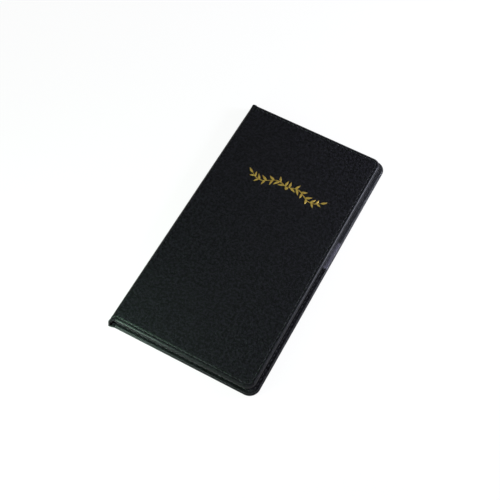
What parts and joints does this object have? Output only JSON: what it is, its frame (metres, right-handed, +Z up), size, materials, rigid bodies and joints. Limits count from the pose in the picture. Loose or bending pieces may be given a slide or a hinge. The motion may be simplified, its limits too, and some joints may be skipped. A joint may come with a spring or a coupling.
{
  "type": "guest check presenter",
  "caption": "Book-style bill folder with padded leatherette covers, a soft spine that folds flat, inside pockets and a clear card strip.",
  "frame": {"origin": "middle of the closed folder's footprint, on the surface it lies on", "axes": "+Z up through the closed folder, +Y along the spine to the head, +X from the spine to the fore edge"},
  "size_m": [0.138, 0.254, 0.0116],
  "materials": {
    "leatherette": "fine grain, satin",
    "lining": "fine grain, matt",
    "foam": "closed-cell foam",
    "board": "grey pulp board",
    "clear_vinyl": "clear, glossy",
    "gold_foil": "hot-stamped foil",
    "thread": "bonded sewing thread"
  },
  "bodies": {
    "back": {"back_skin": "leatherette", "back_foam": "foam", "back_board": "board", "back_lining": "lining", "back_pocket_panel": "leatherette", "back_pocket_seams": "leatherette", "card_window": "clear_vinyl", "card_window_seams": "leatherette"},
    "spine": {"spine_skin": "leatherette", "spine_lining": "lining"},
    "front": {"front_skin": "leatherette", "front_foam": "foam", "front_board": "board", "front_lining": "lining", "front_pocket_panel": "leatherette", "front_pocket_seams": "leatherette"}
  },
  "joints": [
    {"name": "spine_fold", "type": "hinge", "parent": "back", "child": "spine", "pos_m": [-0.06797, 0, 0.00103], "axis": [0, -1, 0], "range_deg": [0, 90]},
    {"name": "front_fold", "type": "hinge", "parent": "spine", "child": "front", "pos_m": [-0.06797, 0, 0.01057], "axis": [0, -1, 0], "range_deg": [0, 90]}
  ],
  "couplings": [
    {"joint": "spine_fold", "follows": "front_fold", "ratio": 1}
  ]
}
